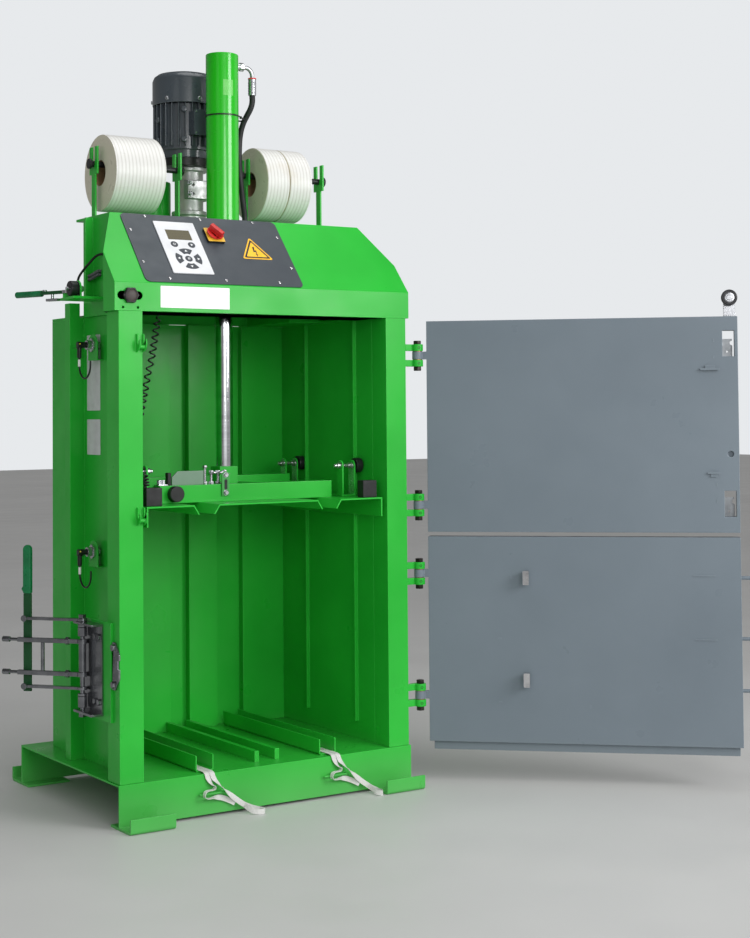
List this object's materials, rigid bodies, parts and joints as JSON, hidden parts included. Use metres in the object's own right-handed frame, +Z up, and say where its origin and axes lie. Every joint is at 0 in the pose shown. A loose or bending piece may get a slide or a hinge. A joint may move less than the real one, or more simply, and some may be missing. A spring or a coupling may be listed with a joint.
{
  "type": "vertical recycling baler",
  "caption": "Upright hydraulic baler for cardboard: pressing chamber with two swung-open doors, press plate, control panel, motor, cylinder and strap rolls on top.",
  "frame": {"origin": "on the floor, at the centre of the rectangle of the four anchor holes in the feet", "axes": "+X to the machine's right seen from the front, +Y to the rear, +Z up"},
  "size_m": [2.1056, 1.5617, 2.417],
  "materials": {
    "green_paint": "semi-gloss powder coat",
    "graphite_paint": "satin powder coat",
    "panel_foil": "satin",
    "motor_paint": "satin enamel",
    "zinc": "zinc plated",
    "chrome": "polished",
    "cast_aluminium": "cast",
    "black_rubber": "matte",
    "black_plastic": "matte",
    "light_plastic": "matte",
    "key_plastic": "gloss",
    "display_window": "gloss",
    "red_plastic": "gloss",
    "grip_plastic": "dipped vinyl",
    "label": "matte film",
    "strap": "woven polyester",
    "strap_roll": "wound polyester strap"
  },
  "bodies": {
    "frame": {"base_frame": "green_paint", "floor_channels": "green_paint", "front_posts": "green_paint", "side_walls": "green_paint", "rear_wall": "green_paint", "head_frame": "green_paint", "hood": "green_paint", "control_panel": "panel_foil", "panel_screws": "zinc", "keypad_housing": "light_plastic", "keypad_display": "display_window", "main_switch_base": "black_plastic", "label_plates": "label", "cylinder_barrel": "green_paint", "hose_fitting": "zinc", "hydraulic_hose": "black_rubber", "motor_body": "motor_paint", "pump_housing": "cast_aluminium", "oil_tank": "green_paint", "roll_stands": "green_paint", "roll_rods": "black_plastic", "hinge_brackets": "green_paint", "hinge_pins": "zinc", "side_brackets": "green_paint", "latch_bracket": "zinc", "door_sensors": "zinc", "switch_cables": "black_rubber", "curly_cord": "black_rubber", "strap_tails": "strap"},
    "ram": {"piston_rod": "chrome", "press_plate": "green_paint", "press_beams": "green_paint", "press_fittings": "zinc", "press_buffers": "black_rubber"},
    "upper_door": {"upper_door": "graphite_paint", "door_roller_bracket": "zinc"},
    "lower_door": {"lower_door": "graphite_paint"},
    "door_roller": {"door_roller": "black_rubber"},
    "latch_handle": {"latch_handle": "zinc", "latch_grip": "grip_plastic"},
    "latch_hooks": {"latch_hooks": "zinc"},
    "top_latch_arm": {"top_latch_arm": "zinc"},
    "top_latch_wheel": {"top_latch_wheel": "black_rubber"},
    "main_switch_handle": {"main_switch_handle": "red_plastic"},
    "slot_bolt": {"slot_bolt": "black_plastic"},
    "motor_fan": {"motor_fan": "black_plastic"},
    "strap_roll_left": {"strap_roll_left": "strap_roll"},
    "strap_roll_middle": {"strap_roll_middle": "strap_roll"},
    "strap_roll_right": {"strap_roll_right": "strap_roll"},
    "guide_roller_front_left": {"guide_roller_front_left": "black_plastic"},
    "guide_roller_rear_left": {"guide_roller_rear_left": "black_plastic"},
    "guide_roller_front_right": {"guide_roller_front_right": "black_plastic"},
    "guide_roller_rear_right": {"guide_roller_rear_right": "black_plastic"},
    "key_upper_left": {"key_upper_left": "key_plastic"},
    "key_upper_right": {"key_upper_right": "key_plastic"},
    "key_centre": {"key_centre": "key_plastic"},
    "key_right": {"key_right": "key_plastic"},
    "key_top": {"key_top": "key_plastic"},
    "key_left": {"key_left": "key_plastic"},
    "key_bottom": {"key_bottom": "key_plastic"}
  },
  "joints": [
    {"name": "ram_slide", "type": "slide", "parent": "frame", "child": "ram", "axis": [0, 0, 1], "range_m": [-0.3, 0.42], "deforming": ["curly_cord"]},
    {"name": "upper_door_hinge", "type": "hinge", "parent": "frame", "child": "upper_door", "pos_m": [0.566, -0.378, 1.166], "axis": [0, 0, 1], "range_deg": [-137, 40]},
    {"name": "lower_door_hinge", "type": "hinge", "parent": "frame", "child": "lower_door", "pos_m": [0.566, -0.378, 0.491], "axis": [0, 0, 1], "range_deg": [-137, 40]},
    {"name": "door_roller_spin", "type": "hinge", "parent": "upper_door", "child": "door_roller", "pos_m": [1.33532, -1.05301, 1.591], "axis": [-0.682, -0.7314, 0], "continuous": true},
    {"name": "latch_handle_swing", "type": "hinge", "parent": "frame", "child": "latch_handle", "pos_m": [-0.55, -0.176, 0.49], "axis": [0, 0, 1], "range_deg": [0, 140]},
    {"name": "latch_hook_swing", "type": "hinge", "parent": "latch_handle", "child": "latch_hooks", "pos_m": [-0.55, -0.176, 0.486], "axis": [0, 0, 1], "range_deg": [-0.5, 2.4]},
    {"name": "top_latch_swing", "type": "hinge", "parent": "frame", "child": "top_latch_arm", "pos_m": [-0.554, -0.071, 1.618], "axis": [0, 0, 1], "range_deg": [-15, 60]},
    {"name": "top_latch_wheel_spin", "type": "hinge", "parent": "frame", "child": "top_latch_wheel", "pos_m": [-0.556, -0.121, 1.618], "axis": [1, 0, 0], "continuous": true},
    {"name": "main_switch_turn", "type": "hinge", "parent": "frame", "child": "main_switch_handle", "pos_m": [-0.127, -0.2521, 1.7986], "axis": [0, -0.7647, 0.6444], "range_deg": [0, 90]},
    {"name": "slot_bolt_slide", "type": "slide", "parent": "frame", "child": "slot_bolt", "axis": [1, 0, 0], "range_m": [-0.022, 0.022]},
    {"name": "motor_fan_spin", "type": "hinge", "parent": "frame", "child": "motor_fan", "pos_m": [-0.024, 0.154, 2.3], "axis": [0, 0, 1], "continuous": true},
    {"name": "strap_roll_left_spin", "type": "hinge", "parent": "frame", "child": "strap_roll_left", "pos_m": [-0.301, 0.039, 2.009], "axis": [1, 0, 0], "continuous": true},
    {"name": "strap_roll_middle_spin", "type": "hinge", "parent": "frame", "child": "strap_roll_middle", "pos_m": [0.209, 0.039, 2.009], "axis": [1, 0, 0], "continuous": true},
    {"name": "strap_roll_right_spin", "type": "hinge", "parent": "frame", "child": "strap_roll_right", "pos_m": [0.297, 0.039, 2.009], "axis": [1, 0, 0], "continuous": true},
    {"name": "guide_roller_front_left_spin", "type": "hinge", "parent": "ram", "child": "guide_roller_front_left", "pos_m": [-0.424, -0.2193, 1.05], "axis": [1, 0, 0], "continuous": true},
    {"name": "guide_roller_front_right_spin", "type": "hinge", "parent": "ram", "child": "guide_roller_front_right", "pos_m": [0.424, -0.2193, 1.05], "axis": [1, 0, 0], "continuous": true},
    {"name": "guide_roller_rear_left_spin", "type": "hinge", "parent": "ram", "child": "guide_roller_rear_left", "pos_m": [-0.424, 0.1523, 1.05], "axis": [1, 0, 0], "continuous": true},
    {"name": "guide_roller_rear_right_spin", "type": "hinge", "parent": "ram", "child": "guide_roller_rear_right", "pos_m": [0.424, 0.1523, 1.05], "axis": [1, 0, 0], "continuous": true},
    {"name": "key_upper_left_press", "type": "slide", "parent": "frame", "child": "key_upper_left", "axis": [0, 0.7647, -0.6444], "range_m": [0, 0.0006], "stiffness_N_per_m": 400},
    {"name": "key_upper_right_press", "type": "slide", "parent": "frame", "child": "key_upper_right", "axis": [0, 0.7647, -0.6444], "range_m": [0, 0.0006], "stiffness_N_per_m": 400},
    {"name": "key_centre_press", "type": "slide", "parent": "frame", "child": "key_centre", "axis": [0, 0.7647, -0.6444], "range_m": [0, 0.0006], "stiffness_N_per_m": 400},
    {"name": "key_right_press", "type": "slide", "parent": "frame", "child": "key_right", "axis": [0, 0.7647, -0.6444], "range_m": [0, 0.0006], "stiffness_N_per_m": 400},
    {"name": "key_top_press", "type": "slide", "parent": "frame", "child": "key_top", "axis": [0, 0.7647, -0.6444], "range_m": [0, 0.0006], "stiffness_N_per_m": 400},
    {"name": "key_left_press", "type": "slide", "parent": "frame", "child": "key_left", "axis": [0, 0.7647, -0.6444], "range_m": [0, 0.0006], "stiffness_N_per_m": 400},
    {"name": "key_bottom_press", "type": "slide", "parent": "frame", "child": "key_bottom", "axis": [0, 0.7647, -0.6444], "range_m": [0, 0.0006], "stiffness_N_per_m": 400}
  ]
}
